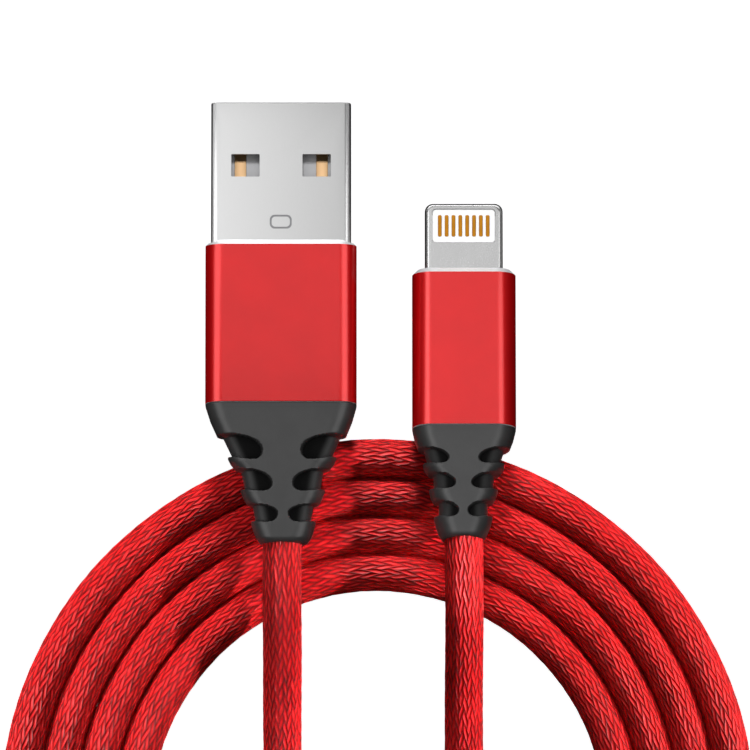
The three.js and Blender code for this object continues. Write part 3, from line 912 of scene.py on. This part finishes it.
def make_phone_tab():
    """The metal tab with rounded edges, a window for the insulator and a channel for the board."""
    edge = [(0.0, 0.36), (0.015, 0.26), (0.07, 0.15), (0.17, 0.06), (0.33, 0.0)]
    levels = [(TAB_HALF_HEIGHT - drop, shrink) for drop, shrink in edge]
    levels += [(-z, shrink) for z, shrink in reversed(levels)]
    rings = [layer_at(tab_outline(shrink), z) for z, shrink in levels]
    vertices, faces = loft(rings)
    tab = make_object("phone_tab", vertices, faces, [tab_metal], phone_place, smooth_angle=40)
    window = rounded_ring(WINDOW_WIDTH, WINDOW_LENGTH, 0.32, 6) + window_middle
    channel = rounded_ring(5.1, 0.9, 0.1, 3)
    cut_away(tab, [
        prism("window", window, -2.0, 2.0, phone_place),
        prism("channel", channel, TAB_REAR - 1, WINDOW_REAR + 0.2, phone_place, along="y"),
    ], 40)
    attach(tab, "phone_plug")
    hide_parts("phone_tab")


def make_phone_insulator():
    """The white insulator: it fills the tab's window and stands 0.05 mm below the tab's faces."""
    top = TAB_HALF_HEIGHT - 0.05
    gap = 0.01
    width, length = WINDOW_WIDTH - 2 * gap, WINDOW_LENGTH - 2 * gap
    rings = []
    for z, shrink in ((-top, 0.06), (-top + 0.05, 0.02), (top - 0.05, 0.02), (top, 0.06)):
        ring = rounded_ring(width - 2 * shrink, length - 2 * shrink, 0.3, 6)
        rings.append(layer_at(ring + window_middle, z))
    vertices, faces = loft(rings)
    block = make_object("phone_insulator", vertices, faces, [white_plastic], phone_place)
    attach(block, "phone_plug")
    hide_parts("phone_insulator")


def make_phone_contacts():
    """Eight rounded pads on each face, a little proud of the insulator."""
    count, pitch, width, length = 8, 0.588, 0.33, 1.9
    for face, sign in (("top", 1), ("bottom", -1)):
        for index in range(count):
            x = (index - (count - 1) / 2) * pitch
            rings = []
            for z, shrink in ((0.62, 0.0), (0.72, 0.0), (0.74, 0.03)):
                ring = rounded_ring(width - 2 * shrink, length - 2 * shrink, 0.12 - shrink, 4)
                rings.append(layer_at(ring + window_middle + (x, 0), sign * z))
            vertices, faces = loft(rings)
            name = f"phone_contact_{face}_{index + 1}"
            pad = make_object(name, vertices, faces, [tab_gold], phone_place)
            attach(pad, "phone_plug")
            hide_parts(name)


make_phone_tab()
make_phone_insulator()
make_phone_contacts()

make_relief("usb_strain_relief", USB_RELIEF, usb_place)
make_relief("phone_strain_relief", PHONE_RELIEF, phone_place)
make_inner_cable("usb_inner_cable", USB_RELIEF, usb_place)
make_inner_cable("phone_inner_cable", PHONE_RELIEF, phone_place)

# ---------- CAD nodes that show as they are ----------


def paint_node(name, material):
    data = frame["nodes"][name].data
    data.materials.clear()
    data.materials.append(material)


for plug in ("usb", "phone"):
    paint_node(f"{plug}_inner_mould", mould_plastic)
    for wire, material in wire_paint.items():
        paint_node(f"{plug}_wire_{wire}", material)
paint_node("phone_circuit_board", board_green)
paint_node("phone_control_chip", chip_black)

# ---------- floor and light ----------

FLOOR_GLOW = 1.0
SKY = 0.09


def make_floor():
    """A pale glowing floor that doesn't show in the object's reflections."""
    half = 2.0
    mesh = bpy.data.meshes.new("floor")
    corners = [(-half, -half, 0), (half, -half, 0), (half, half, 0), (-half, half, 0)]
    mesh.from_pydata(corners, [], [(0, 1, 2, 3)])
    graph = Graph("pale_floor")
    fine = graph.noise(graph.coordinates(), 400.0)
    graph.set(Base_Color=graph.ramp(fine, [(0.3, (0.93, 0.93, 0.93)), (0.7, (0.95, 0.95, 0.95))]))
    graph.set(Roughness=0.8, Specular_IOR_Level=0.1)
    graph.set(Emission_Color=(1.0, 1.0, 1.0, 1.0), Emission_Strength=FLOOR_GLOW)
    mesh.materials.append(graph.material)
    floor = bpy.data.objects.new("floor", mesh)
    floor.visible_glossy = False
    floor.visible_diffuse = False
    bpy.context.scene.collection.objects.link(floor)


def softbox(name, place, size, radiance, target=(0.0, -0.01, 0.0), spread=180.0, lit=None):
    """A rectangular lamp aimed at target and unseen by the camera. lit lists the only things it lights."""
    half_cone = math.radians(spread / 2)
    focus = 1.0 if spread == 180.0 else 1 - half_cone / math.tan(half_cone)
    light = bpy.data.lights.new(name, "AREA")
    light.shape = "RECTANGLE"
    light.size, light.size_y = size
    light.energy = radiance * math.pi * size[0] * size[1] * focus
    light.spread = math.radians(spread)
    lamp = bpy.data.objects.new(name, light)
    lamp.location = place
    aim = Vector(target) - Vector(place)
    lamp.rotation_euler = aim.to_track_quat("-Z", "Y").to_euler()
    lamp.visible_camera = False
    bpy.context.scene.collection.objects.link(lamp)
    if lit:
        group = bpy.data.collections.new(f"{name}_lights")
        for thing in lit:
            group.objects.link(thing)
        lamp.light_linking.receiver_collection = group


def make_world():
    """Dim sky, brighter overhead and dark below the horizon."""
    world = bpy.data.worlds.new("studio")
    bpy.context.scene.world = world
    world.use_nodes = True
    tree = world.node_tree
    place = tree.nodes.new("ShaderNodeTexCoord")
    parts = tree.nodes.new("ShaderNodeSeparateXYZ")
    ramp = tree.nodes.new("ShaderNodeValToRGB")
    back = tree.nodes["Background"]
    tree.links.new(place.outputs["Generated"], parts.inputs[0])
    tree.links.new(parts.outputs["Z"], ramp.inputs["Fac"])
    tree.links.new(ramp.outputs["Color"], back.inputs["Color"])
    low, high = ramp.color_ramp.elements
    low.position, low.color = 0.0, (0.02, 0.02, 0.02, 1.0)
    high.position, high.color = 0.7, (1.0, 1.0, 1.0, 1.0)
    back.inputs["Strength"].default_value = SKY


make_floor()
make_world()


def parts_named(*starts, leave_out=()):
    """The object's meshes whose names start with one of starts."""
    return [
        thing for thing in bpy.context.scene.objects
        if thing.type == "MESH" and thing.name.startswith(starts) and thing not in leave_out
    ]


cord = parts_named("braided_cord")
socket = parts_named("usb_contact")
tongue = parts_named("usb_contact_tongue")
usb_parts = parts_named("usb", leave_out=socket)
phone_parts = parts_named("phone")
bare_metal = parts_named("usb_shell", "phone_tab")
softbox("overhead", (-0.03, 0.08, 0.28), (0.26, 0.36), 0.95, lit=usb_parts + phone_parts)
softbox("nose_card", (0.0, 0.20, 0.05), (0.34, 0.09), 3.0, lit=usb_parts + phone_parts)
softbox("usb_left_strip", (-0.19, 0.0, 0.17), (0.30, 0.16), 2.4, lit=usb_parts)
softbox("usb_right_strip", (0.185, 0.0, 0.18), (0.30, 0.16), 2.3, lit=usb_parts)
softbox("phone_left_strip", (-0.12, 0.0, 0.23), (0.30, 0.11), 2.4, lit=phone_parts)
softbox("phone_right_strip", (0.14, 0.0, 0.23), (0.30, 0.11), 2.4, lit=phone_parts)
softbox("left_card", (-0.25, 0.0, 0.02), (0.40, 0.10), 0.9, lit=bare_metal)
softbox("right_card", (0.25, 0.0, 0.02), (0.40, 0.10), 0.6, lit=bare_metal)
softbox("socket_light", (-0.007, 0.105, 0.28), (0.03, 0.03), 170.0, lit=socket)
softbox("socket_fill", (-0.007, 0.03, 0.28), (0.16, 0.16), 5.0, lit=tongue)
softbox("cord_top", (0.0, 0.0, 0.28), (0.30, 0.30), 0.39, lit=cord)
softbox("left_rake", (-0.20, -0.045, 0.075), (0.14, 0.018), 870.0, (-0.026, -0.045, 0.0), 8.0, cord)
softbox("right_rake", (0.20, -0.045, 0.075), (0.14, 0.018), 1150.0, (0.028, -0.045, 0.0), 8.0, cord)
softbox("middle_rake", (0.16, -0.05, 0.11), (0.14, 0.008), 2400.0, (-0.001, -0.05, 0.005), 7.0, cord)
softbox("nose_rake", (0.0, 0.18, 0.08), (0.08, 0.05), 150.0, (0.0, -0.002, 0.0), 20.0, cord)
bpy.context.scene.view_settings.view_transform = "Standard"
